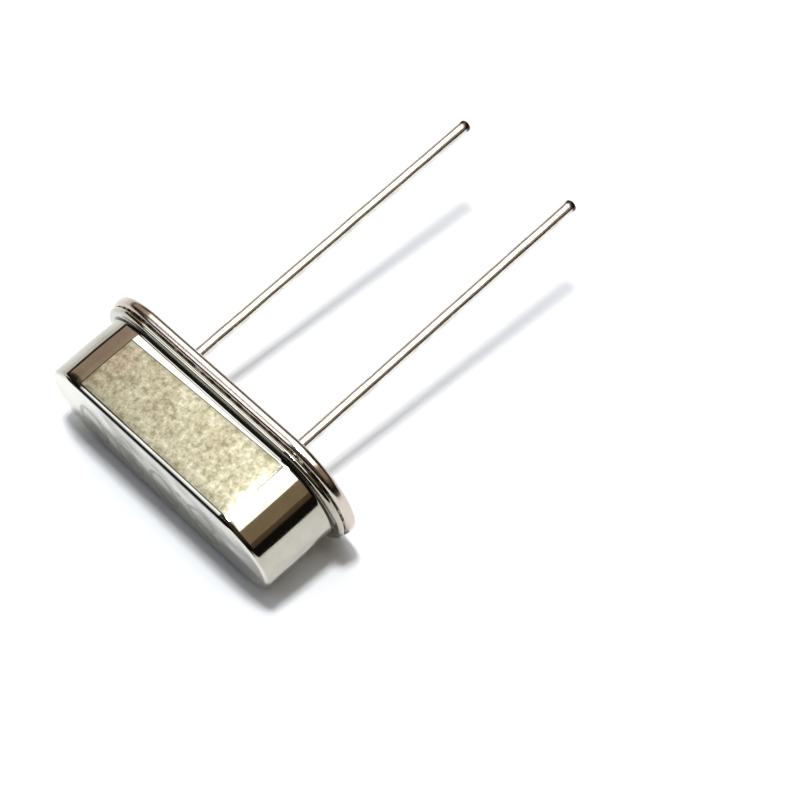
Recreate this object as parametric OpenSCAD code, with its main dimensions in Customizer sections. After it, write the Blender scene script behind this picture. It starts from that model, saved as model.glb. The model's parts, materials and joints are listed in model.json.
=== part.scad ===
// Low-profile quartz crystal unit with two wire leads.
// A drawn metal can is welded flange to flange onto a stamped base. Each lead runs through
// a glass seal in the base and carries a sheet clip inside, and the two clips hold the
// ends of a thin rectangular quartz blank with a silver electrode on either face.
//
// Every piece is modelled upright: the base's underside is z = 0, the can stands above it,
// the leads point down, and the long axis is X. lay_down() then turns the whole unit onto
// its wide side, where it rests on the rim of the base and on the can's top edge.

/* [Base and can] */
// Length of the base over its flange
flange_l = 11.05; // [9.2:0.05:13.3]
// Width of the base over its flange
flange_w = 4.65; // [3.85:0.05:5.6]
// Height of the can's top above the base's underside
height = 3.35; // [2.75:0.05:5]
// How far the base's flange stands out round the can
overhang = 0.43; // [0.35:0.01:0.55]
// Thickness of the base's flange
base_t = 0.43; // [0.35:0.01:0.6]
// Rounding of the base's outer edges
base_edge_r = 0.17; // [0.05:0.01:0.17]
// Height of the base's raised middle above its flange
plateau_h = 0.5; // [0.3:0.05:0.7]
// Gap between the raised middle and the can's inner wall
plateau_gap = 0.08; // [0.04:0.01:0.2]

/* [Can's sheet] */
// Thickness of the can's sheet
cap_t = 0.23; // [0.15:0.01:0.32]
// Inner radius of the can's top edge
crown_r = 0.07; // [0.05:0.01:0.3]
// Outer radius of the can's top edge, which the drawing tools press to a crisp bend
crown_out_r = 0.17; // [0.1:0.01:0.35]
// Outer radius of the bend from the can's wall into its flange
mouth_r = 0.14; // [0.08:0.01:0.2]
// How far the can's flange ends inside the base's flange
lip_inset = 0.08; // [0.06:0.01:0.12]

/* [Leads and seals] */
// Distance between the two leads
lead_pitch = 4.88; // [4:0.01:5.9]
// Diameter of a lead
lead_d = 0.43; // [0.35:0.01:0.55]
// Length of a lead below the base
lead_len = 12.7; // [5:0.1:20]
// Chamfer on a lead's cut tip
tip_c = 0.04; // [0.02:0.01:0.08]
// Diameter of a glass seal
seal_d = 1.8; // [1.4:0.05:2.2]
// Depth of a seal's rim inside the base's faces
seal_sink = 0.03; // [0.01:0.01:0.06]
// How far the glass climbs up the lead
seal_climb = 0.15; // [0.05:0.01:0.3]
// How far a lead stands out of the base inside the can
post_h = 0.14; // [0.1:0.01:0.25]
// How much a lead's radius grows from the base's underside to its nail head
shank_flare = 0.02; // [0.01:0.01:0.04]
// Width of the nail head's rim round a lead
head_rim = 0.17; // [0.1:0.01:0.25]
// Thickness of the nail head
head_t = 0.12; // [0.08:0.01:0.2]

/* [Clips] */
// Thickness of a clip's sheet
clip_t = 0.1; // [0.06:0.01:0.12]
// Inner radius of a clip's bends
bend_r = 0.05; // [0.03:0.01:0.06]
// Distance from a lead's axis to the clip's riser
riser_off = 0.24; // [0.2:0.01:0.3]
// Length of a clip's foot inwards from a lead's axis
foot_l = 0.45; // [0.35:0.05:0.8]
// Width of a clip's foot
foot_w = 0.9; // [0.6:0.05:1.1]
// Length of the ears that hold the blank sideways
ear_l = 0.28; // [0.15:0.01:0.3]
// Height of the ears above the shelf
ear_h = 0.4; // [0.3:0.05:0.6]
// Width of the slot in a clip's shelf
slot_w = 0.4; // [0.2:0.05:0.6]
// Length of shelf left between the slot and the riser
slot_land = 0.12; // [0.08:0.01:0.2]
// Gap between a clip's corners and the can's round ends
clip_gap = 0.2; // [0.1:0.01:0.25]

/* [Quartz blank] */
// Thickness of the blank
blank_t = 0.21; // [0.12:0.01:0.35]
// Gap between the blank's long edges and the can
blank_gap = 0.64; // [0.5:0.01:0.7]
// Gap between the blank's long edges and the clips' ears
ear_gap = 0.06; // [0.03:0.01:0.1]
// How far a clip's shelf reaches past the blank's end
shelf_lap = 0.12; // [0.08:0.01:0.15]
// Thickness of the adhesive under the blank
glue_t = 0.06; // [0.04:0.01:0.1]
// Radius of an adhesive dot
glue_r = 0.5; // [0.3:0.05:0.55]
// Height of an adhesive dot above the blank
glue_h = 0.16; // [0.1:0.01:0.25]
// Thickness that the electrodes are drawn with
electrode_t = 0.03; // [0.02:0.01:0.04]
// Bare quartz round an electrode
electrode_margin = 0.25; // [0.1:0.05:0.4]
// Bare quartz between an electrode and the far end of the blank
electrode_stop = 1.5; // [1:0.1:2]
// Width of an electrode's tail
tail_w = 0.7; // [0.3:0.05:0.9]

/* [Hidden] */
$fn = 64;

// Can: outer size, cavity and the end of its flange, all as half-widths where named _hw
can_hw = flange_w / 2 - overhang;
span = flange_l / 2 - flange_w / 2;          // from the middle to the centre of each round end
cavity_hw = can_hw - cap_t;
cavity_top = height - cap_t;
lip_z = base_t + cap_t;                      // upper face of the can's flange
lip_hw = flange_w / 2 - lip_inset - cap_t / 2;   // centre of the flange's round edge
plateau_z = base_t + plateau_h;

// Leads and seals: the glass surface is an arc that is level at its rim
lead_r = lead_d / 2;
lead_x = lead_pitch / 2;
seal_r = seal_d / 2;
seal_w = seal_r - lead_r;
meniscus_r = (seal_w * seal_w + seal_climb * seal_climb) / (2 * seal_climb);
head_top = plateau_z + post_h + head_t;

// Blank and clips: the blank lies in the middle of the free height, and the clips' outer
// corners clear the round ends of the can
blank_hw = cavity_hw - blank_gap;
blank_z = (plateau_z + cavity_top - blank_t) / 2;
shelf_hw = blank_hw + ear_gap + clip_t;
shelf_end = span + sqrt(pow(cavity_hw - clip_gap, 2) - pow(shelf_hw, 2));
shelf_top = blank_z - glue_t;
blank_end = shelf_end - shelf_lap;
riser_x = lead_x + riser_off;                // inner face of the riser
glue_x = blank_end + shelf_lap / 2 - glue_r;  // half of the lap is left bare

// Lying pose: circles of the section that may touch the surface, as [half-width, z, radius]
crown_edge = [can_hw - crown_out_r, height - crown_out_r, crown_out_r];
rim_edges = [[flange_w / 2 - base_edge_r, base_t - base_edge_r, base_edge_r],
             [lip_hw, base_t + cap_t / 2, cap_t / 2]];
function lean_on(rim) =
    let (out = rim[0] - crown_edge[0], up = crown_edge[1] - rim[1])
    atan2(out, up) + asin((rim[2] - crown_edge[2]) / norm([out, up]));
lean = max([for (rim = rim_edges) lean_on(rim)]);
lift = crown_edge[0] * cos(lean) + crown_edge[1] * sin(lean) + crown_edge[2];
front_y = -crown_edge[0] * sin(lean) - crown_edge[1] * cos(lean) - crown_edge[2];
back_y = (lead_r - tip_c) * sin(lean) + lead_len * cos(lean);

eps = 0.01;                                  // overlap of cuts past a face

// Turns an upright piece into the lying pose, centred over the origin
module lay_down() {
    translate([0, -(front_y + back_y) / 2, lift])
        rotate([90 + lean, 0, 0])
            children();
}

// Sweeps a half-section, drawn with x as the distance from the middle, round an oblong
module oblong(half_span) {
    for (side = [-1, 1])
        translate([side * half_span, 0, 0])
            rotate([0, 0, side * -90])
                rotate_extrude(angle = 180) children();
    rotate([90, 0, 90])
        linear_extrude(2 * half_span, center = true) {
            children();
            mirror([1, 0]) children();
        }
}

// Rectangle from the middle out to half-width hw, with its outer upper corner rounded
module crowned(hw, low, high, r) {
    translate([0, low]) square([hw, high - r - low]);
    translate([0, low]) square([hw - r, high - low]);
    translate([hw - r, high - r]) circle(r);
}

// The can: its crown, wall, the bend at the mouth and the flange that is welded down
module cap_section() {
    bend = mouth_r + cap_t;
    bend_at = [can_hw + mouth_r, lip_z + mouth_r];
    difference() {
        union() {
            crowned(can_hw, base_t, height, crown_out_r);
            translate([can_hw - eps, base_t]) square([lip_hw - can_hw + eps, cap_t]);
            translate([lip_hw, base_t + cap_t / 2]) circle(cap_t / 2);
            difference() {
                translate([can_hw - eps, lip_z - eps]) square(mouth_r + eps);
                translate(bend_at) circle(mouth_r);
            }
        }
        crowned(cavity_hw, base_t - 1, cavity_top, crown_r);
        difference() {
            translate([cavity_hw - eps, base_t - eps]) square(bend + eps);
            translate(bend_at) circle(bend);
        }
    }
}

module cap() {
    color("#c8c3b0") lay_down() oblong(span) cap_section();
}

// The base: a flange with rounded edges and a raised middle that fills the can's mouth
module base_section() {
    hw = flange_w / 2;
    r = base_edge_r;
    square([hw - r, base_t]);
    translate([0, r]) square([hw, base_t - 2 * r]);
    for (z = [r, base_t - r]) translate([hw - r, z]) circle(r);
    square([cavity_hw - plateau_gap, plateau_z]);
}

module base() {
    color("#a8a6a0") lay_down() difference() {
        oblong(span) base_section();
        for (side = [-1, 1])
            translate([side * lead_x, 0, -eps]) cylinder(r = seal_r, h = plateau_z + 2 * eps);
    }
}

// A lead: a round wire with a chamfered tip below. Above the base's underside its shank
// swells slightly towards the flat nail head that was forged on its inner end
module wire() {
    translate([0, 0, -lead_len]) cylinder(r1 = lead_r - tip_c, r2 = lead_r, h = tip_c);
    translate([0, 0, tip_c - lead_len]) cylinder(r = lead_r, h = lead_len - tip_c);
    cylinder(r1 = lead_r, r2 = lead_r + shank_flare, h = plateau_z + post_h);
    translate([0, 0, plateau_z + post_h]) cylinder(r = lead_r + head_rim, h = head_t);
}

module lead(side) {
    color("#cfcdc6") lay_down() translate([side * lead_x, 0, 0]) wire();
}

// A glass seal: it fills the hole in the base and climbs a little up the lead at both ends
module glass_seal(side) {
    color("#1b1c20") lay_down() translate([side * lead_x, 0, 0]) difference() {
        rotate_extrude() difference() {
            translate([0, -seal_climb]) square([seal_r, plateau_z + 2 * seal_climb]);
            for (z = [seal_sink - meniscus_r, plateau_z - seal_sink + meniscus_r])
                translate([seal_r, z]) circle(meniscus_r);
        }
        wire();
    }
}

// Quarter ring that joins two straight stretches of a clip's sheet at a bend
module bend_ring(corner) {
    intersection() {
        difference() {
            circle(bend_r + clip_t);
            circle(bend_r);
        }
        rotate(corner) square(bend_r + clip_t);
    }
}

// Side view of a clip's sheet: foot, riser and shelf, joined by two bends
module clip_side() {
    foot_end = riser_x - bend_r;
    shelf_start = riser_x + clip_t + bend_r;
    translate([lead_x - foot_l, head_top]) square([foot_end - lead_x + foot_l, clip_t]);
    translate([foot_end, head_top + clip_t + bend_r]) bend_ring(-90);
    translate([riser_x, head_top + clip_t + bend_r])
        square([clip_t, shelf_top - head_top - 2 * (clip_t + bend_r)]);
    translate([shelf_start, shelf_top - clip_t - bend_r]) bend_ring(90);
    translate([shelf_start, shelf_top - clip_t]) square([shelf_end - shelf_start, clip_t]);
}

// A clip: the foot is narrow, the shelf is as wide as the blank and is slotted, and an
// ear turned up at either side keeps the blank in line
module clip(side) {
    color("#bfae7c") lay_down() mirror([side < 0 ? 1 : 0, 0, 0]) {
        difference() {
            rotate([90, 0, 0]) linear_extrude(2 * shelf_hw, center = true) clip_side();
            for (y = [-1, 1])
                translate([lead_x - foot_l - 1, y * (foot_w / 2 + shelf_hw) - shelf_hw, 0])
                    cube([riser_x - lead_x + foot_l + 1, 2 * shelf_hw, cavity_top]);
            translate([riser_x + clip_t + bend_r + slot_land, -slot_w / 2, shelf_top - 2 * clip_t])
                cube([shelf_end, slot_w, 3 * clip_t]);
        }
        for (y = [-shelf_hw, shelf_hw - clip_t])
            translate([shelf_end - ear_l, y, shelf_top - eps])
                cube([ear_l, clip_t, ear_h + eps]);
    }
}

// The blank: a thin rectangular strip cut from quartz
module blank_shape() {
    translate([-blank_end, -blank_hw, blank_z]) cube([2 * blank_end, 2 * blank_hw, blank_t]);
}

module quartz_blank() {
    color("#dfe7ea", 0.6) lay_down() blank_shape();
}

// An electrode: a silver patch on the middle with a tail that runs to one end, for its clip
module electrode_shape(side, z) {
    half_l = blank_end - electrode_stop;
    translate([0, 0, z]) linear_extrude(electrode_t) {
        translate([-half_l, electrode_margin - blank_hw])
            square([2 * half_l, 2 * (blank_hw - electrode_margin)]);
        translate([side < 0 ? -blank_end : 0, -tail_w / 2]) square([blank_end, tail_w]);
    }
}

module electrode_top() {
    color("#e2e2e0") lay_down() electrode_shape(-1, blank_z + blank_t);
}

module electrode_bottom() {
    color("#e2e2e0") lay_down() electrode_shape(1, blank_z - electrode_t);
}

// An adhesive dot: it lies between shelf and blank, wraps the blank's end and stands on top
// of it with a rounded edge
module adhesive(side) {
    color("#8f8f8c") lay_down() difference() {
        translate([side * glue_x, 0, 0])
            rotate_extrude() crowned(glue_r, shelf_top, blank_z + blank_t + glue_h, glue_h);
        blank_shape();
        electrode_shape(-1, blank_z + blank_t);
        electrode_shape(1, blank_z - electrode_t);
    }
}

cap();
base();
glass_seal(-1);  // glass_seal_left
glass_seal(1);  // glass_seal_right
lead(-1);  // lead_left
lead(1);  // lead_right
clip(-1);  // clip_left
clip(1);  // clip_right
quartz_blank();
electrode_top();
electrode_bottom();
adhesive(-1);  // adhesive_left
adhesive(1);  // adhesive_right
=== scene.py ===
"""Looks of the two-lead quartz crystal: the outside pieces are modelled again in fine detail
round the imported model, in the order in which the real unit is put together."""

import json
from math import cos, pi, radians, sin

import bmesh
import bpy
from mathutils import Matrix, Vector, noise


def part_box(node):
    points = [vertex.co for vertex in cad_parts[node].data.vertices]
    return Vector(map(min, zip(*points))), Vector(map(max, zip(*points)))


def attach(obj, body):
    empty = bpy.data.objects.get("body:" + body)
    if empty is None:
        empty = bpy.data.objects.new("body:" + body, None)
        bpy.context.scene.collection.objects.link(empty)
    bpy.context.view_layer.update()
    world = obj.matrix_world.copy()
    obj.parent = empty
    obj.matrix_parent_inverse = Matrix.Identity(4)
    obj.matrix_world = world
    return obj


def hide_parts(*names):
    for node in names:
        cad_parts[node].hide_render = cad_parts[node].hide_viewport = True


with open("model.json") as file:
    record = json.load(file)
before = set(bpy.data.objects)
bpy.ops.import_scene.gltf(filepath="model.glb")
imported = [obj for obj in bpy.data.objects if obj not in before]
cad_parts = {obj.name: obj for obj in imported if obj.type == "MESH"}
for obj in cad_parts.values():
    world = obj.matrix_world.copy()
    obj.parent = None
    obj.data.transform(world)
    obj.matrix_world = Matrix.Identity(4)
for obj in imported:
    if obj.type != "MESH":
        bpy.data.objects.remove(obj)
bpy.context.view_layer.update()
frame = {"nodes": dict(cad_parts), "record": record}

# ---------------------------------------------------------------------------------------
# Base. A stamped steel plate with a rounded rim and a raised middle, nickel plated after
# stamping. The two lead holes are pierced in it. It is modelled upright, in millimetres,
# with its underside at z = 0 and the long axis along x, and then laid on its side.
# ---------------------------------------------------------------------------------------

MM = 0.001

# The lying pose comes from the record: the leads' direction, and the base's underside
MOUNTS = {mount["name"]: mount for mount in frame["record"]["mounts"]}
LEADS_WAY = Vector(MOUNTS["lead_left"]["axis"])
WIRE_MIDDLE = Vector(MOUNTS["lead_left"]["pos_m"])
UNDERSIDE = Vector(MOUNTS["seating_face"]["pos_m"])
SEAT = WIRE_MIDDLE + (UNDERSIDE - WIRE_MIDDLE).dot(LEADS_WAY) * LEADS_WAY
SEAT.x = 0
LYING_TURN = Matrix((Vector((1, 0, 0)), (-LEADS_WAY).cross(Vector((1, 0, 0))), -LEADS_WAY)).transposed()
LYING = Matrix.Translation(SEAT) @ LYING_TURN.to_4x4() @ Matrix.Scale(MM, 4)

FLANGE_LENGTH = (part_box("base")[1].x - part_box("base")[0].x) / MM
FLANGE_HW = 4.65 / 2                     # half-widths end in HW
SPAN = FLANGE_LENGTH / 2 - FLANGE_HW     # from the middle to the centre of each round end
BASE_T = 0.43
RIM_R = 0.17
PLATEAU_HW = 1.585
PLATEAU_Z = 0.93
PLATEAU_R = 0.06
HOLE_R = 0.9
HOLE_EDGE = 0.035                        # burnished edge of the pierced holes
LEAD_X = MOUNTS["lead_pair"]["dims"]["pcd_mm"] / 2

TURN_STEPS = 56                          # facets round each half-round end
RUN_STEPS = 32                           # stretches along each straight side


def arc(x, z, r, first, last, steps):
    """Points of an arc in a section, from the angle first to last in degrees."""
    turns = [radians(first + (last - first) * i / steps) for i in range(steps + 1)]
    return [(x + r * cos(turn), z + r * sin(turn)) for turn in turns]


def stretch(start, end, steps):
    """The points that divide a straight part of a section, without its ends."""
    return [tuple(a + (b - a) * i / steps for a, b in zip(start, end)) for i in range(1, steps)]


def oblong(section, closed=False, fineness=1):
    """A bmesh of the section, (distance from the middle, height), swept round an oblong."""
    bm = bmesh.new()
    line = [bm.verts.new((SPAN, -out, z)) for out, z in section]
    pairs = list(zip(line, line[1:])) + ([(line[-1], line[0])] if closed else [])
    swept = line + [bm.edges.new(pair) for pair in pairs]
    for side in (1, -1):
        swept = bmesh.ops.spin(bm, geom=swept, cent=(side * SPAN, 0, 0), axis=(0, 0, 1),
                               angle=pi, steps=TURN_STEPS * fineness)["geom_last"]
        step = (-side * 2 * SPAN / RUN_STEPS / fineness, 0, 0)
        swept = bmesh.ops.spin(bm, geom=swept, axis=(0, 0, 1), dvec=step,
                               angle=0, steps=RUN_STEPS * fineness)["geom_last"]
    bmesh.ops.remove_doubles(bm, verts=bm.verts, dist=1e-4)
    return bm


def turned(bm, section, x, closed=False, steps=48):
    """Adds the section, (radius, height), spun round the upright axis at x."""
    line = [bm.verts.new((x + out, 0, z)) for out, z in section]
    pairs = list(zip(line, line[1:])) + ([(line[-1], line[0])] if closed else [])
    swept = line + [bm.edges.new(pair) for pair in pairs]
    bmesh.ops.spin(bm, geom=swept, cent=(x, 0, 0), axis=(0, 0, 1), angle=2 * pi, steps=steps,
                   use_merge=True)
    bmesh.ops.remove_doubles(bm, verts=bm.verts, dist=1e-4)
    return bm


def laid(name, bm, material, sharp=40):
    """Lays an upright bmesh down and makes it a smooth-shaded object with that material."""
    bmesh.ops.recalc_face_normals(bm, faces=bm.faces)
    bmesh.ops.transform(bm, matrix=LYING, verts=bm.verts)
    mesh = bpy.data.meshes.new(name)
    bm.to_mesh(mesh)
    bm.free()
    mesh.shade_smooth()
    mesh.set_sharp_from_angle(angle=radians(sharp))
    mesh.materials.append(material)
    piece = bpy.data.objects.new(name, mesh)
    bpy.context.scene.collection.objects.link(piece)
    return piece


def linear(code):
    """An sRGB hex colour as linear red, green, blue and alpha."""
    parts = [int(code[i:i + 2], 16) / 255 for i in (1, 3, 5)]
    return [p / 12.92 if p <= 0.04045 else ((p + 0.055) / 1.055) ** 2.4 for p in parts] + [1.0]


def add(tree, kind, inputs=None, ramp=None, **settings):
    """Adds a node with its settings. An input is a value, or the output that feeds it."""
    made = tree.nodes.new("ShaderNode" + kind)
    for name, value in settings.items():
        setattr(made, name, value)
    for name, value in (inputs or {}).items():
        if isinstance(value, bpy.types.NodeSocket):
            tree.links.new(value, made.inputs[name])
        else:
            made.inputs[name].default_value = value
    if ramp:
        stops = made.color_ramp.elements
        while len(stops) < len(ramp):
            stops.new(1.0)
        for stop, (place, colour) in zip(stops, ramp):
            stop.position = place
            stop.color = linear(colour) if isinstance(colour, str) else (colour,) * 3 + (1.0,)
    return made


def surface(name, plain_colour, values):
    """A new material with the values on its shader, and the upright place in millimetres."""
    material = bpy.data.materials.new(name)
    material.use_nodes = True
    material.diffuse_color = linear(plain_colour)
    tree = material.node_tree
    shader = tree.nodes["Principled BSDF"]
    for socket, value in values.items():
        shader.inputs[socket].default_value = value
    place = add(tree, "TexCoord").outputs["Object"]
    upright = add(tree, "Mapping", {"Vector": place, "Location": SEAT, "Scale": (MM, MM, MM),
                                    "Rotation": LYING_TURN.to_euler()}, vector_type="TEXTURE")
    return material, tree, shader, upright.outputs["Vector"]


def feed(tree, shader, outputs):
    """Links each output to the shader's socket of that name."""
    for socket, output in outputs.items():
        tree.links.new(output, shader.inputs[socket])


def base_nickel():
    """Nickel over stamped steel: the flat underside keeps the dull grain of the sheet, and
    the rounded rim is burnished bright by tumbling."""
    material, tree, shader, spot = surface("satin_nickel_on_stamped_steel", "#b4b0a6",
                                           {"Metallic": 1.0})
    grain = add(tree, "TexNoise", {"Vector": spot, "Scale": 1 / 0.12, "Detail": 5.0})
    stain = add(tree, "TexNoise", {"Vector": spot, "Scale": 1 / 1.4, "Detail": 3.0})
    colour = add(tree, "ValToRGB", {"Fac": stain.outputs["Fac"]},
                 ramp=((0.35, "#cdc3b8"), (0.65, "#c0b4a8")))
    height = add(tree, "SeparateXYZ", {"Vector": spot}).outputs["Z"]
    rim = add(tree, "MapRange", {"Value": height, "From Min": 0.0, "From Max": 0.04})
    dull = add(tree, "MapRange", {"Value": grain.outputs["Fac"], "From Min": 0.3,
                                  "From Max": 0.7, "To Min": 0.34, "To Max": 0.46})
    bright = add(tree, "MapRange", {"Value": grain.outputs["Fac"], "From Min": 0.3,
                                    "From Max": 0.7, "To Min": 0.13, "To Max": 0.20})
    rough = add(tree, "Mix", {"Factor": rim.outputs["Result"], 2: dull.outputs["Result"],
                              3: bright.outputs["Result"]})
    relief = add(tree, "Bump", {"Height": grain.outputs["Fac"], "Strength": 1.0,
                                "Distance": 0.0012 * MM})
    feed(tree, shader, {"Base Color": colour.outputs["Color"],
                        "Roughness": rough.outputs[0],
                        "Normal": relief.outputs["Normal"]})
    return material


def base_mesh():
    """The plate: its outer skin, the two hole walls, and the two faces between them."""
    top_edge = (PLATEAU_HW - PLATEAU_R, PLATEAU_Z - PLATEAU_R)
    bm = oblong(arc(*top_edge, PLATEAU_R, 90, 0, 4)
                + [(PLATEAU_HW, BASE_T)]
                + arc(FLANGE_HW - RIM_R, BASE_T - RIM_R, RIM_R, 90, 0, 12)
                + arc(FLANGE_HW - RIM_R, RIM_R, RIM_R, 0, -90, 12)
                + [(FLANGE_HW - RIM_R - 0.1, 0.0)])
    for side in (-1, 1):
        turned(bm, arc(HOLE_R + HOLE_EDGE, HOLE_EDGE, HOLE_EDGE, 270, 180, 5)
               + arc(HOLE_R + HOLE_EDGE, PLATEAU_Z - HOLE_EDGE, HOLE_EDGE, 180, 90, 5),
               side * LEAD_X)
    for level in (0, PLATEAU_Z):
        rims = [edge for edge in bm.edges if edge.is_boundary
                and all(abs(vert.co.z - level) < 1e-4 for vert in edge.verts)]
        bmesh.ops.triangle_fill(bm, edges=rims, use_beauty=True, normal=(0, 0, 1))
    return bm


base = laid("base_plate", base_mesh(), base_nickel())
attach(base, "root")
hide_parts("base")

# ---------------------------------------------------------------------------------------
# Leads. Steel wire dipped in tin, with a flat nail head forged on the inner end. The dip
# leaves a bright skin that is slightly uneven along the wire and rounds off at the tip,
# where the cut end shows brown.
# ---------------------------------------------------------------------------------------

LEAD_R = 0.43 / 2
LEAD_LENGTH = 12.7
TIP_R = 0.11
SHANK_FLARE = 0.02
HEAD_R = LEAD_R + 0.17
HEAD_Z = PLATEAU_Z + 0.14
HEAD_T = 0.12
DIP_UNEVEN = 0.010                       # how far the tin's skin strays from a true round


def tinned_wire():
    """Hot-dipped tin: nearly white and bright, with shallow pits, and brown on the cut end."""
    material, tree, shader, spot = surface("hot_dipped_tin", "#d2d0ca", {"Metallic": 1.0})
    height = add(tree, "SeparateXYZ", {"Vector": spot}).outputs["Z"]
    flow = add(tree, "TexNoise", {"Vector": spot, "Scale": 1 / 0.5, "Detail": 4.0})
    pits = add(tree, "TexNoise", {"Vector": spot, "Scale": 1 / 0.14, "Detail": 2.0})
    skin = add(tree, "ValToRGB", {"Fac": flow.outputs["Fac"]},
               ramp=((0.35, "#d3d0c8"), (0.6, "#e6e4de")))
    ragged = add(tree, "Math", {0: flow.outputs["Fac"], 1: 0.12, 2: height},
                 operation="MULTIPLY_ADD")
    tip = add(tree, "MapRange", {"Value": ragged.outputs["Value"],
                                 "From Min": 0.22 - LEAD_LENGTH, "From Max": 0.32 - LEAD_LENGTH})
    colour = add(tree, "Mix", {"Factor": tip.outputs["Result"], 6: linear("#4e3f39"),
                               7: skin.outputs["Color"]}, data_type="RGBA")
    relief = add(tree, "Bump", {"Height": pits.outputs["Fac"], "Strength": 0.4,
                                "Distance": 0.006 * MM})
    rough = add(tree, "MapRange", {"Value": pits.outputs["Fac"], "From Min": 0.3,
                                   "From Max": 0.6, "To Min": 0.26, "To Max": 0.18})
    feed(tree, shader, {"Base Color": colour.outputs[2],
                        "Roughness": rough.outputs["Result"],
                        "Normal": relief.outputs["Normal"]})
    return material


def lead_mesh(x):
    """A wire with a rounded tip, a shank and a nail head, its skin moved in and out a little."""
    head_edge = 0.03
    bm = turned(bmesh.new(),
                [(0, -LEAD_LENGTH)]
                + arc(LEAD_R - TIP_R, TIP_R - LEAD_LENGTH, TIP_R, -90, 0, 8)
                + stretch((LEAD_R, TIP_R - LEAD_LENGTH), (LEAD_R, 0), 110)
                + [(LEAD_R, 0), (LEAD_R + SHANK_FLARE, HEAD_Z)]
                + arc(HEAD_R - head_edge, HEAD_Z + head_edge, head_edge, -90, 0, 3)
                + arc(HEAD_R - head_edge, HEAD_Z + HEAD_T - head_edge, head_edge, 0, 90, 3)
                + [(0, HEAD_Z + HEAD_T)], x, steps=28)
    for vert in bm.verts:
        fade = min(1, max(0, -0.2 - vert.co.z))
        out = Vector((vert.co.x - x, vert.co.y, 0))
        place = Vector((vert.co.x * 2.4, vert.co.y * 2.4, vert.co.z * 1.1))
        vert.co += out.normalized() * (noise.noise(place) - 0.4) * DIP_UNEVEN * fade
    return bm


tin = tinned_wire()
for name, side in (("left", -1), ("right", 1)):
    lead = laid("tinned_lead_" + name, lead_mesh(side * LEAD_X), tin)
    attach(lead, "root")
    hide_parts("lead_" + name)

# ---------------------------------------------------------------------------------------
# Glass seals. A dark glass ring is melted between each lead and its hole. It shrinks to a
# hollow glossy surface that is level at the hole's edge and climbs the lead at both ends.
# ---------------------------------------------------------------------------------------

SEAL_SINK = 0.03
SEAL_CLIMB = 0.15
SEAL_WIDTH = HOLE_R - LEAD_R
MENISCUS_R = (SEAL_WIDTH ** 2 + SEAL_CLIMB ** 2) / (2 * SEAL_CLIMB)


def compression_glass():
    """Dark sealing glass: near-black and fire-polished, with a few shallow dimples."""
    material, tree, shader, spot = surface("dark_compression_glass", "#17181b", {"IOR": 1.52})
    swirl = add(tree, "TexNoise", {"Vector": spot, "Scale": 1 / 0.3, "Detail": 2.0})
    colour = add(tree, "ValToRGB", {"Fac": swirl.outputs["Fac"]},
                 ramp=((0.35, "#09090c"), (0.7, "#1a1a1e")))
    rough = add(tree, "MapRange", {"Value": swirl.outputs["Fac"], "To Min": 0.03,
                                   "To Max": 0.12})
    relief = add(tree, "Bump", {"Height": swirl.outputs["Fac"], "Strength": 1.0,
                                "Distance": 0.004 * MM})
    feed(tree, shader, {"Base Color": colour.outputs["Color"],
                        "Roughness": rough.outputs["Result"],
                        "Normal": relief.outputs["Normal"]})
    return material


def seal_mesh(x):
    """The ring: a hollow face below, the hole's wall, a hollow face above, the lead's side."""
    reach = 90 + 2 * (180 / pi) * (SEAL_CLIMB / SEAL_WIDTH)
    below = arc(HOLE_R, SEAL_SINK - MENISCUS_R, MENISCUS_R, reach, 90, 12)
    above = [(out, PLATEAU_Z - z) for out, z in reversed(below)]
    return turned(bmesh.new(), below + above, x, closed=True)


glass = compression_glass()
for name, side in (("left", -1), ("right", 1)):
    seal = laid("seal_" + name, seal_mesh(side * LEAD_X), glass)
    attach(seal, "root")
    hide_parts("glass_seal_" + name)

# ---------------------------------------------------------------------------------------
# Clips. Thin phosphor bronze strip, stamped and bent, and spot-welded on the nail heads.
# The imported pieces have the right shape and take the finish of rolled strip.
# ---------------------------------------------------------------------------------------


def rolled_bronze():
    """Bare phosphor bronze: yellow-brown, with fine rolling lines along the strip."""
    material, tree, shader, spot = surface("rolled_phosphor_bronze", "#b99a5e",
                                           {"Metallic": 1.0})
    along = add(tree, "Mapping", {"Vector": spot, "Scale": (1 / 0.9, 1 / 0.03, 1 / 0.03)})
    lines = add(tree, "TexNoise", {"Vector": along.outputs["Vector"], "Scale": 1.0,
                                   "Detail": 4.0})
    colour = add(tree, "ValToRGB", {"Fac": lines.outputs["Fac"]},
                 ramp=((0.35, "#ad8f57"), (0.65, "#c7a968")))
    rough = add(tree, "MapRange", {"Value": lines.outputs["Fac"], "To Min": 0.22,
                                   "To Max": 0.42})
    relief = add(tree, "Bump", {"Height": lines.outputs["Fac"], "Strength": 0.6,
                                "Distance": 0.002 * MM})
    feed(tree, shader, {"Base Color": colour.outputs["Color"],
                        "Roughness": rough.outputs["Result"],
                        "Normal": relief.outputs["Normal"]})
    return material


def refinish(material, *names):
    """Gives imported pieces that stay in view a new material."""
    for name in names:
        frame["nodes"][name].material_slots[0].material = material


refinish(rolled_bronze(), "clip_left", "clip_right")

# ---------------------------------------------------------------------------------------
# Quartz blank and electrodes. The blank is sawn from a quartz bar, lapped and etched until
# it is evenly misty. Silver is evaporated through a mask on both faces.
# ---------------------------------------------------------------------------------------


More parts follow.
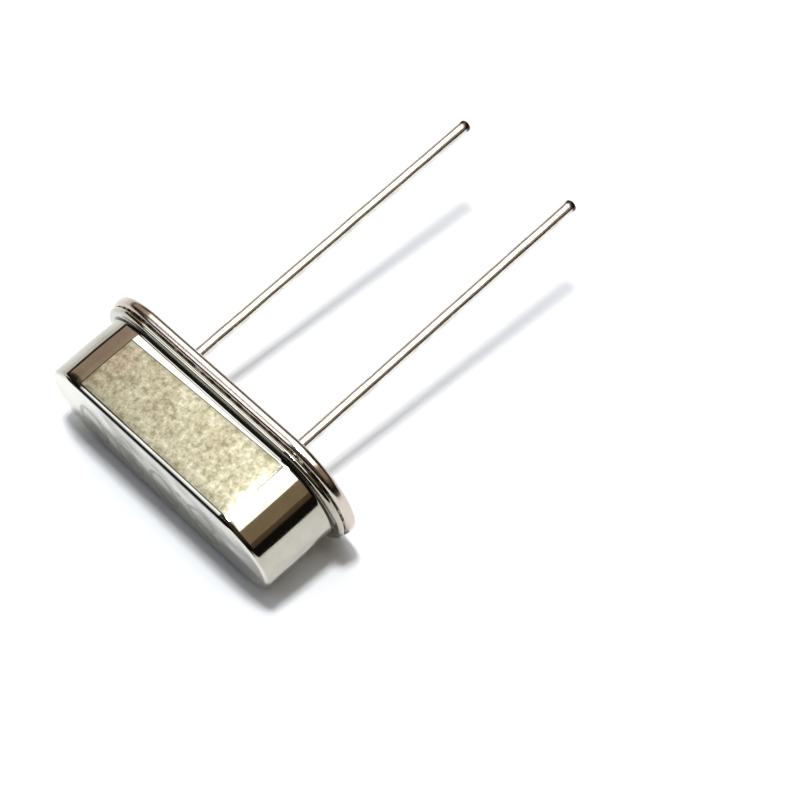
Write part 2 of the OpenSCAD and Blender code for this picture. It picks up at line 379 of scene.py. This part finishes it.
def lapped_quartz():
    """Etched quartz: clear inside, with a fine even mist from the lapping grit."""
    material, tree, shader, spot = surface("lapped_quartz", "#dfe7ea",
                                           {"IOR": 1.544, "Transmission Weight": 1.0})
    grit = add(tree, "TexNoise", {"Vector": spot, "Scale": 1 / 0.02, "Detail": 3.0})
    mist = add(tree, "ValToRGB", {"Fac": grit.outputs["Fac"]},
               ramp=((0.4, "#e6edf0"), (0.7, "#f4f8fa")))
    rough = add(tree, "MapRange", {"Value": grit.outputs["Fac"], "To Min": 0.18,
                                   "To Max": 0.40})
    feed(tree, shader, {"Base Color": mist.outputs["Color"],
                        "Roughness": rough.outputs["Result"]})
    return material


def evaporated_silver():
    """Evaporated silver: white and satin, because it follows the blank's etched grain."""
    material, tree, shader, spot = surface("evaporated_silver", "#e4e3df", {"Metallic": 1.0})
    grain = add(tree, "TexNoise", {"Vector": spot, "Scale": 1 / 0.025, "Detail": 3.0})
    colour = add(tree, "ValToRGB", {"Fac": grain.outputs["Fac"]},
                 ramp=((0.35, "#dcdad4"), (0.65, "#efeeea")))
    rough = add(tree, "MapRange", {"Value": grain.outputs["Fac"], "To Min": 0.20,
                                   "To Max": 0.38})
    relief = add(tree, "Bump", {"Height": grain.outputs["Fac"], "Strength": 0.5,
                                "Distance": 0.001 * MM})
    feed(tree, shader, {"Base Color": colour.outputs["Color"],
                        "Roughness": rough.outputs["Result"],
                        "Normal": relief.outputs["Normal"]})
    return material


refinish(lapped_quartz(), "quartz_blank")
refinish(evaporated_silver(), "electrode_top", "electrode_bottom")

# ---------------------------------------------------------------------------------------
# Adhesive. A dot of silver-filled epoxy is dispensed on each end of the blank. It cures to
# a dull grey with silver flakes in its skin.
# ---------------------------------------------------------------------------------------


def silver_epoxy():
    """Silver-filled epoxy: dull grey resin with paler flakes about 0.03 mm across."""
    material, tree, shader, spot = surface("silver_filled_epoxy", "#8f8f8c",
                                           {"Metallic": 0.35})
    flakes = add(tree, "TexVoronoi", {"Vector": spot, "Scale": 1 / 0.03})
    colour = add(tree, "ValToRGB", {"Fac": flakes.outputs["Distance"]},
                 ramp=((0.15, "#b9b8b3"), (0.5, "#858480")))
    rough = add(tree, "MapRange", {"Value": flakes.outputs["Distance"], "To Min": 0.38,
                                   "To Max": 0.68})
    relief = add(tree, "Bump", {"Height": flakes.outputs["Distance"], "Strength": 0.5,
                                "Distance": 0.003 * MM})
    feed(tree, shader, {"Base Color": colour.outputs["Color"],
                        "Roughness": rough.outputs["Result"],
                        "Normal": relief.outputs["Normal"]})
    return material


refinish(silver_epoxy(), "adhesive_left", "adhesive_right")

# ---------------------------------------------------------------------------------------
# Can. Nickel-plated sheet, deep drawn in one piece: its top edge and mouth are rounded by
# the tools, its walls spring out very slightly, and its flange is left flat.
# ---------------------------------------------------------------------------------------

CAN_HW = 1.895
CAN_TOP = 3.35
SHEET_T = 0.23
CROWN_R = 0.17
MOUTH_R = 0.14
LIP_HW = FLANGE_HW - 0.08 - SHEET_T / 2
LIP_Z = BASE_T + SHEET_T
BEND_TOP = LIP_Z + MOUTH_R
CAVITY_HW = CAN_HW - SHEET_T
CAVITY_TOP = CAN_TOP - SHEET_T
CAVITY_R = 0.07
SIDE_BOW = 0.018                         # how far the middle of a wall springs out
PANEL_SHIFT = 0.12                       # the frosted panels sit a little toward one end
PANEL_PAST = 0.22                        # and run this far into the round ends
PANEL_TURN = 0.025                       # where the wall has turned this far in, they stop
WIDE_MARGIN = 0.25                       # bright margin above the mouth bend, at one end
NARROW_MARGIN = 0.06                     # and at the other


def panel_depth(tree, along, place):
    """How far inside the borders of a frosted panel a point is, in mm. There is a panel on each
    wide side, with a bright margin above the mouth bend that is wider toward one end."""
    margin = add(tree, "MapRange", {"Value": along, "From Min": -SPAN, "From Max": SPAN,
                                    "To Min": BEND_TOP + WIDE_MARGIN,
                                    "To Max": BEND_TOP + NARROW_MARGIN})
    inside = 1.0
    for first, second in ((SPAN + PANEL_PAST, place["X"]),
                          (place["Y"], CAN_HW - PANEL_TURN),
                          (CAN_TOP - CROWN_R, place["Z"]),
                          (place["Z"], margin.outputs["Result"])):
        border = add(tree, "Math", {0: first, 1: second}, operation="SUBTRACT")
        inside = add(tree, "Math", {0: inside, 1: border.outputs["Value"]},
                     operation="MINIMUM").outputs["Value"]
    return inside


def sheet_colour(tree, along, stain, grain, wide, top):
    """Stained and speckled on the frosted panels, plainer on the walls, palest on the top."""
    # One end is browner, so the stains shift along the can
    stain_shift_along = add(tree, "MapRange", {"Value": along, "From Min": -SPAN, "From Max": SPAN,
                                  "To Min": -0.15, "To Max": 0.15})
    tarnish = add(tree, "Math", {0: stain, 1: stain_shift_along.outputs["Result"]})
    stained = add(tree, "ValToRGB", {"Fac": tarnish.outputs["Value"]},
                  ramp=((0.25, "#9a8f7b"), (0.38, "#9e9883"), (0.5, "#a6a28c"),
                        (0.70, "#b5b19e")))
    speckle = add(tree, "ValToRGB", {"Fac": grain},
                  ramp=((0.36, "#bdc0af"), (0.50, "#eeebe6"), (0.60, 1.04), (0.70, 1.40)))
    frosted = add(tree, "Mix", {"Factor": 1.0, 6: stained.outputs["Color"],
                                7: speckle.outputs["Color"]}, data_type="RGBA",
                  blend_type="MULTIPLY")
    drawn = add(tree, "ValToRGB", {"Fac": stain}, ramp=((0.35, "#aba79a"), (0.65, "#b9b5a9")))
    pressed = add(tree, "ValToRGB", {"Fac": stain}, ramp=((0.35, "#d2cfc1"), (0.65, "#dddbcf")))
    smooth = add(tree, "Mix", {"Factor": top, 6: drawn.outputs["Color"],
                               7: pressed.outputs["Color"]}, data_type="RGBA")
    return add(tree, "Mix", {"Factor": wide, 6: smooth.outputs[2], 7: frosted.outputs[2]},
               data_type="RGBA").outputs[2]


def dark_lines(tree, place, inside):
    """Where the dark lines are: in the mouth bend, along the straight crown edges and round the
    panels. They are painted, and stand for the dark room that such tight bends mirror."""
    bend = add(tree, "MapRange", {"Value": place["Z"], "From Min": LIP_Z, "From Max": BEND_TOP})
    bend_line = add(tree, "ValToRGB", {"Fac": bend.outputs["Result"]},
                    ramp=((0.06, 0.0), (0.14, 0.95), (0.54, 0.95), (0.66, 0.0)))
    crown = add(tree, "MapRange", {"Value": place["Y"], "From Min": CAN_HW - CROWN_R - 0.04,
                                   "From Max": CAN_HW})
    crown_line = add(tree, "ValToRGB", {"Fac": crown.outputs["Result"]},
                     ramp=((0.02, 0.0), (0.12, 0.98), (0.84, 0.98), (0.92, 0.0)))
    raised = add(tree, "MapRange", {"Value": place["Z"], "From Min": CAN_TOP - 0.08,
                                    "From Max": CAN_TOP - 0.06})
    on_top = add(tree, "Math", {0: crown_line.outputs["Color"], 1: raised.outputs["Result"]},
                 operation="MULTIPLY")
    rim = add(tree, "MapRange", {"Value": inside, "From Min": -0.03, "From Max": 0.05})
    outline = add(tree, "ValToRGB", {"Fac": rim.outputs["Result"]},
                  ramp=((0.15, 0.0), (0.35, 0.75), (0.55, 0.75), (0.80, 0.0)))
    bends = add(tree, "Math", {0: bend_line.outputs["Color"], 1: on_top.outputs["Value"]},
                operation="MAXIMUM")
    return add(tree, "Math", {0: bends.outputs["Value"], 1: outline.outputs["Color"]},
               operation="MAXIMUM").outputs["Value"]


def can_nickel():
    """Tumbled nickel over drawn sheet: a frosted grain with soft stains on the wide sides,
    bright round ends with fine draw lines, and a smooth pale top."""
    material, tree, shader, spot = surface("tumbled_nickel_on_drawn_sheet", "#bdb8a6",
                                           {"Metallic": 1.0})
    along = add(tree, "SeparateXYZ", {"Vector": spot}).outputs["X"]
    centred = add(tree, "VectorMath", {0: spot, 1: (PANEL_SHIFT, 0, 0)}, operation="SUBTRACT")
    out = add(tree, "VectorMath", {0: centred.outputs["Vector"]}, operation="ABSOLUTE")
    place = add(tree, "SeparateXYZ", {"Vector": out.outputs["Vector"]}).outputs
    inside = panel_depth(tree, along, place)
    wide = add(tree, "MapRange", {"Value": inside, "From Min": 0.0, "From Max": 0.02})
    top = add(tree, "MapRange", {"Value": place["Z"], "From Min": CAN_TOP - 0.08,
                                 "From Max": CAN_TOP - 0.01})
    # Grain of the sheet, drawn coarser than its real 0.05 mm so that it shows
    grain = add(tree, "TexNoise", {"Vector": spot, "Scale": 1 / 0.21, "Detail": 4.0,
                                   "Roughness": 0.74})
    stain = add(tree, "TexNoise", {"Vector": spot, "Scale": 1 / 1.1, "Detail": 4.0,
                                   "Roughness": 0.6})
    sheet = sheet_colour(tree, along, stain.outputs["Fac"], grain.outputs["Fac"],
                         wide.outputs["Result"], top.outputs["Result"])
    colour = add(tree, "Mix", {"Factor": dark_lines(tree, place, inside), 6: sheet,
                               7: linear("#15110d")}, data_type="RGBA")
    # Draw lines run up the walls, about 0.05 mm apart
    upward = add(tree, "Mapping", {"Vector": spot, "Scale": (1 / 0.05, 1 / 0.05, 1 / 1.6)})
    lines = add(tree, "TexNoise", {"Vector": upward.outputs["Vector"], "Scale": 1.0,
                                   "Detail": 2.0})
    on_wall = add(tree, "MapRange", {"Value": place["Z"], "To Max": 0.1, "From Min": BEND_TOP,
                                     "From Max": BEND_TOP + 0.1})
    faint = add(tree, "Math", {0: lines.outputs["Fac"], 1: on_wall.outputs["Result"]},
                operation="MULTIPLY")
    height = add(tree, "Mix", {"Factor": wide.outputs["Result"], 2: faint.outputs["Value"],
                               3: grain.outputs["Fac"]})
    fine = add(tree, "Bump", {"Height": height.outputs[0], "Strength": 1.0,
                              "Distance": 0.006 * MM})
    # The thin top panel is never quite flat: soft waves about 1.5 mm long
    wave = add(tree, "TexNoise", {"Vector": spot, "Scale": 1 / 1.5, "Detail": 1.0})
    sway = add(tree, "MapRange", {"Value": top.outputs["Result"], "To Min": 0.08,
                                  "To Max": 1.0})
    swell = add(tree, "Math", {0: wave.outputs["Fac"], 1: sway.outputs["Result"]},
                operation="MULTIPLY")
    relief = add(tree, "Bump", {"Height": swell.outputs["Value"], "Strength": 1.0,
                                "Distance": 0.06 * MM, "Normal": fine.outputs["Normal"]})
    rough = add(tree, "MapRange", {"Value": wide.outputs["Result"], "To Min": 0.07,
                                   "To Max": 0.38})
    feed(tree, shader, {"Base Color": colour.outputs[2],
                        "Roughness": rough.outputs["Result"],
                        "Normal": relief.outputs["Normal"]})
    return material


def can_mesh():
    """The drawn sheet: from its top panel over the crown, down the wall, out along the
    flange, round its edge, and back along the inside."""
    crown = (CAN_HW - CROWN_R, CAN_TOP - CROWN_R)
    bend = (CAN_HW + MOUTH_R, BEND_TOP)
    wall = [(out + SIDE_BOW * sin(pi * (z - bend[1]) / (crown[1] - bend[1])), z)
            for out, z in stretch((CAN_HW, crown[1]), (CAN_HW, bend[1]), 14)]
    bm = oblong(arc(*crown, CROWN_R, 90, 0, 14)
                + wall
                + arc(*bend, MOUTH_R, 180, 270, 28)
                + arc(LIP_HW, BASE_T + SHEET_T / 2, SHEET_T / 2, 90, -90, 14)
                + arc(*bend, MOUTH_R + SHEET_T, 270, 180, 8)
                + arc(CAVITY_HW - CAVITY_R, CAVITY_TOP - CAVITY_R, CAVITY_R, 0, 90, 5))
    rims = [edge for edge in bm.edges if edge.is_boundary]
    panels = bmesh.ops.holes_fill(bm, edges=rims, sides=0)["faces"]
    bmesh.ops.inset_individual(bm, faces=panels, thickness=0.04, use_even_offset=True)
    return bm


can = laid("can", can_mesh(), can_nickel())
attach(can, "root")
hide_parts("cap")

# ---------------------------------------------------------------------------------------
# Weld. The can's flange is resistance-welded to the base all round, and a little metal is
# squeezed out of the joint in uneven crumbs between the two rims. The crumbs are coloured
# mostly near black, as painted shade of the groove, over the weld's own heat tint.
# ---------------------------------------------------------------------------------------

WELD_OUT = 2.20
WELD_Z = 0.428
WELD_R = 0.026


def weld_tint_and_groove_shade():
    """Squeezed-out weld metal: grey-brown, heat-tinted and a little rough. Mostly near black,
    which is painted shade of the groove it lies in.
    """
    material, tree, shader, spot = surface("heat_tinted_weld_and_groove_shade", "#8a7f70",
                                           {"Metallic": 1.0})
    tint_and_groove_shade = add(tree, "TexNoise", {"Vector": spot, "Scale": 1 / 0.4, "Detail": 3.0})
    # Mostly near black: painted shade of the groove between the rims, with paler crumbs
    colour = add(tree, "ValToRGB", {"Fac": tint_and_groove_shade.outputs["Fac"]},
                 ramp=((0.4, "#2e2722"), (0.55, "#4a4038"), (0.66, "#b9b2a3")))
    rough = add(tree, "MapRange", {"Value": tint_and_groove_shade.outputs["Fac"], "To Min": 0.18,
                                   "To Max": 0.42})
    feed(tree, shader, {"Base Color": colour.outputs["Color"],
                        "Roughness": rough.outputs["Result"]})
    return material


def weld_mesh():
    """A thin round bead in the groove, pushed in and out so that it breaks into crumbs."""
    bm = oblong(arc(WELD_OUT, WELD_Z, WELD_R, 0, 300, 5), closed=True, fineness=3)
    for vert in bm.verts:
        middle = Vector((max(-SPAN, min(SPAN, vert.co.x)), 0, WELD_Z))
        ring = middle + (vert.co - middle).normalized() * WELD_OUT
        ring.z = WELD_Z
        swell = noise.noise(vert.co * 5.5) + 0.4 * noise.noise(vert.co * 13)
        vert.co += (vert.co - ring) * swell * 0.9 + (ring - middle).normalized() * swell * 0.02
    return bm


weld = laid("weld_bead", weld_mesh(), weld_tint_and_groove_shade())
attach(weld, "root")

# ---------------------------------------------------------------------------------------
# Marking. The frequency in plain figures, written on the top by a laser that browns the
# nickel. It is a skin two microns proud, and reads with its feet to the upper wide side.
# ---------------------------------------------------------------------------------------

MARK_PROUD = 0.002
MARK_STROKE = 0.17
FIGURE_HW = 0.56
FIGURE_HH = 0.95
FIGURE_STEPS = 48


def laser_brown():
    """Laser-browned nickel: matt brown grey, drawn in fine strokes that leave a faint grain."""
    material, tree, shader, spot = surface("laser_browned_nickel", "#ada798", {"Metallic": 0.9})
    strokes = add(tree, "TexNoise", {"Vector": spot, "Scale": 1 / 0.06, "Detail": 3.0})
    colour = add(tree, "ValToRGB", {"Fac": strokes.outputs["Fac"]},
                 ramp=((0.35, "#a19b8d"), (0.65, "#b9b3a2")))
    rough = add(tree, "MapRange", {"Value": strokes.outputs["Fac"], "To Min": 0.16,
                                   "To Max": 0.26})
    feed(tree, shader, {"Base Color": colour.outputs["Color"],
                        "Roughness": rough.outputs["Result"]})
    return material


def oval(bm, x, y, half_width, half_height, stroke=MARK_STROKE, proud=MARK_PROUD):
    """Adds a flat oval ring, or a filled one where the stroke is none."""
    rings = []
    for grow in (stroke / 2, -stroke / 2) if stroke else (0,):
        shape = Matrix.Translation((x, y, CAN_TOP + proud)) @ Matrix.Diagonal(
            (half_width + grow, half_height + grow, 1, 1))
        made = bmesh.ops.create_circle(bm, cap_ends=not stroke, radius=1,
                                       segments=FIGURE_STEPS, matrix=shape)["verts"]
        rings += {edge for vert in made for edge in vert.link_edges}
    if stroke:
        bmesh.ops.bridge_loops(bm, edges=rings)


def mark_mesh():
    """The figures 8.000, turned half round, and given their thickness."""
    bm = bmesh.new()
    for x in (-3.2, -1.5, 0.2):
        oval(bm, x, -0.40, FIGURE_HW, FIGURE_HH)
    oval(bm, 1.13, 0.47, 0.11, 0.11, stroke=0)
    oval(bm, 2.1, 0.07, FIGURE_HW, 0.48)
    oval(bm, 2.1, -0.85, FIGURE_HW - 0.07, 0.44, proud=1.5 * MARK_PROUD)
    bmesh.ops.recalc_face_normals(bm, faces=bm.faces)
    bmesh.ops.solidify(bm, geom=bm.faces[:], thickness=2 * MARK_PROUD)
    return bm


mark = laid("figures", mark_mesh(), laser_brown())
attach(mark, "root")

# ---------------------------------------------------------------------------------------
# Stage. The unit lies on white paper under a small bright window. Softboxes and tinted cards,
# all lamps, stand where its mirror-bright walls show them. The rest of the room is dark, so
# the nickel shows broad dark bands between them.
# ---------------------------------------------------------------------------------------

FLOOR_SIZE = 3.0
floor_mesh = bpy.data.meshes.new("floor")
bm = bmesh.new()
bmesh.ops.create_grid(bm, x_segments=1, y_segments=1, size=FLOOR_SIZE)
bm.to_mesh(floor_mesh)
bm.free()
floor = bpy.data.objects.new("floor", floor_mesh)
bpy.context.scene.collection.objects.link(floor)
paper = bpy.data.materials.new("white_paper")
paper.use_nodes = True
tree = paper.node_tree
shader = tree.nodes["Principled BSDF"]
shader.inputs["Roughness"].default_value = 1.0
shader.inputs["Specular IOR Level"].default_value = 0.0
ray = add(tree, "LightPath").outputs
seen = add(tree, "Math", {0: ray["Is Camera Ray"], 1: ray["Is Glossy Ray"]}, operation="MAXIMUM")
seen = add(tree, "Math", {0: seen.outputs["Value"], 1: ray["Is Transmission Ray"]},
           operation="MAXIMUM")
white = add(tree, "ValToRGB", {"Fac": seen.outputs["Value"]}, ramp=((0, "#8c8e90"), (1, "#f8fbff")))
tree.links.new(white.outputs["Color"], shader.inputs["Base Color"])
# Past the lamps' reach the paper shows as plain white, and gives no light
reach = add(tree, "VectorMath", {0: add(tree, "TexCoord").outputs["Object"]}, operation="LENGTH")
past = add(tree, "MapRange", {"Value": reach.outputs["Value"], "From Min": 30 * MM,
                              "From Max": 90 * MM}, interpolation_type="SMOOTHSTEP")
shown = add(tree, "Math", {0: past.outputs["Result"], 1: seen.outputs["Value"]},
            operation="MULTIPLY")
plain = add(tree, "Emission", {"Color": (1, 1, 1, 1), "Strength": 1.0})
mixed = add(tree, "MixShader", {"Fac": shown.outputs["Value"], 1: shader.outputs["BSDF"],
                                2: plain.outputs["Emission"]})
tree.links.new(mixed.outputs["Shader"], tree.nodes["Material Output"].inputs["Surface"])
floor_mesh.materials.append(paper)


def softbox(name, toward, distance, width, depth, radiance, colour="#ffffff", run=(0, 1, 0)):
    """An area lamp that faces the object from the direction toward, its depth along run."""
    lamp = bpy.data.lights.new(name, "AREA")
    lamp.shape = "RECTANGLE"
    lamp.size = width
    lamp.size_y = depth
    lamp.energy = radiance * pi * width * depth
    lamp.color = linear(colour)[:3]
    thing = bpy.data.objects.new(name, lamp)
    out = Vector(toward).normalized()
    across = Vector(run).cross(out).normalized()
    turn = Matrix((across, out.cross(across), out)).transposed()
    thing.matrix_world = Matrix.Translation(out * distance) @ turn.to_4x4()
    bpy.context.scene.collection.objects.link(thing)


softbox("window", (-0.02, -0.04, 1.0), 0.30, 0.048, 0.036, 118.0)
softbox("overhead_softbox", (0.087, 0.13, 0.98), 0.30, 0.27, 0.105, 2.7)
softbox("front_softbox", (-0.424, -0.475, 0.772), 0.30, 0.07, 0.22, 2.4, "#eef3ff", run=(0, 1, 1))
softbox("tan_card", (0.66, 0.18, 0.73), 0.30, 0.15, 0.16, 0.46, "#d0b490", run=(0, 0, 1))
softbox("brown_card", (0.86, 0.22, 0.46), 0.30, 0.15, 0.06, 0.20, "#c4a27c", run=(0, 0, 1))
softbox("pink_card", (-0.79, 0.20, 0.58), 0.30, 0.10, 0.215, 0.60, "#e8cdbb", run=(0, 0, 1))
softbox("back_card", (-0.32, 0.50, 0.80), 0.30, 0.22, 0.09, 0.9)
softbox("warm_panel", (-0.38, 0.20, 0.90), 0.32, 0.15, 0.10, 2.8)

# The far side of the room is white paper low down, and the near side is dim
world = bpy.data.worlds.new("studio")
bpy.context.scene.world = world
world.use_nodes = True
tree = world.node_tree
way = add(tree, "TexCoord").outputs["Generated"]
parts = add(tree, "SeparateXYZ", {"Vector": way})
far = add(tree, "ValToRGB", {"Fac": parts.outputs["Z"]},
          ramp=((0.0, "#ffffff"), (0.13, "#ffffff"), (0.16, "#2a241f"), (0.62, "#2a241f"),
                (0.72, "#5c5249"), (0.86, "#38332c")))
near = add(tree, "ValToRGB", {"Fac": parts.outputs["Z"]},
           ramp=((0.0, "#1a1714"), (0.44, "#1a1714"), (0.60, "#4a453d"), (0.86, "#4a453d")))
across = add(tree, "Math", {0: parts.outputs["X"], 1: parts.outputs["Y"]}, operation="SUBTRACT")
side = add(tree, "MapRange", {"Value": across.outputs["Value"], "From Min": -0.3,
                              "From Max": 0.3}, interpolation_type="SMOOTHSTEP")
room = add(tree, "MixRGB", {"Fac": side.outputs["Result"], "Color1": far.outputs["Color"],
                            "Color2": near.outputs["Color"]})
tree.links.new(room.outputs["Color"], tree.nodes["Background"].inputs["Color"])

# The camera stands where it sees the unit's upper wide side, its top edge and right end
AIM = Vector((2.579, 0.124, 1.014)) * MM
AZIMUTH, ELEVATION = radians(46.2), radians(54.1)
DISTANCE = 71.7 * MM
camera = bpy.data.cameras.new("camera")
camera.sensor_width = 36
camera.lens = 100
camera.clip_start = 1 * MM
camera.clip_end = 20
viewer = bpy.data.objects.new("camera", camera)
back = Vector((sin(AZIMUTH) * cos(ELEVATION), -cos(AZIMUTH) * cos(ELEVATION), sin(ELEVATION)))
viewer.location = AIM + back * DISTANCE
viewer.rotation_euler = (-back).to_track_quat("-Z", "Y").to_euler()
bpy.context.scene.collection.objects.link(viewer)
bpy.context.scene.camera = viewer
bpy.context.scene.view_settings.view_transform = "Standard"
